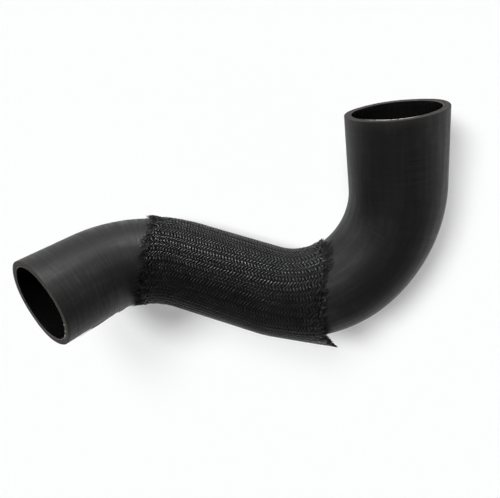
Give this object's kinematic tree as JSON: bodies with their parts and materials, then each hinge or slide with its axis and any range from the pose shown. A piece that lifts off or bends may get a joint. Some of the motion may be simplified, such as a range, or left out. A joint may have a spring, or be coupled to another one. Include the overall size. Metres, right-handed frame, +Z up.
{
  "type": "intercooler pipe",
  "caption": "Bent moulded rubber hose for boosted intake air, with a braided filament sleeve over its middle and plain open ends for spigots.",
  "frame": {"origin": "bottom centre of the bounding box, on the table that the pipe lies on as it comes to rest", "axes": "+X along the middle leg towards the long elbow, +Y towards the open end of the long leg, +Z up from the table"},
  "size_m": [0.3002, 0.2328, 0.1276],
  "materials": {
    "hose_rubber": "matt moulded rubber with a soft sheen",
    "sleeve_filament": "black braided filament with a satin glint"
  },
  "bodies": {
    "root": {"hose": "hose_rubber", "braided_sleeve": "sleeve_filament"}
  },
  "joints": []
}
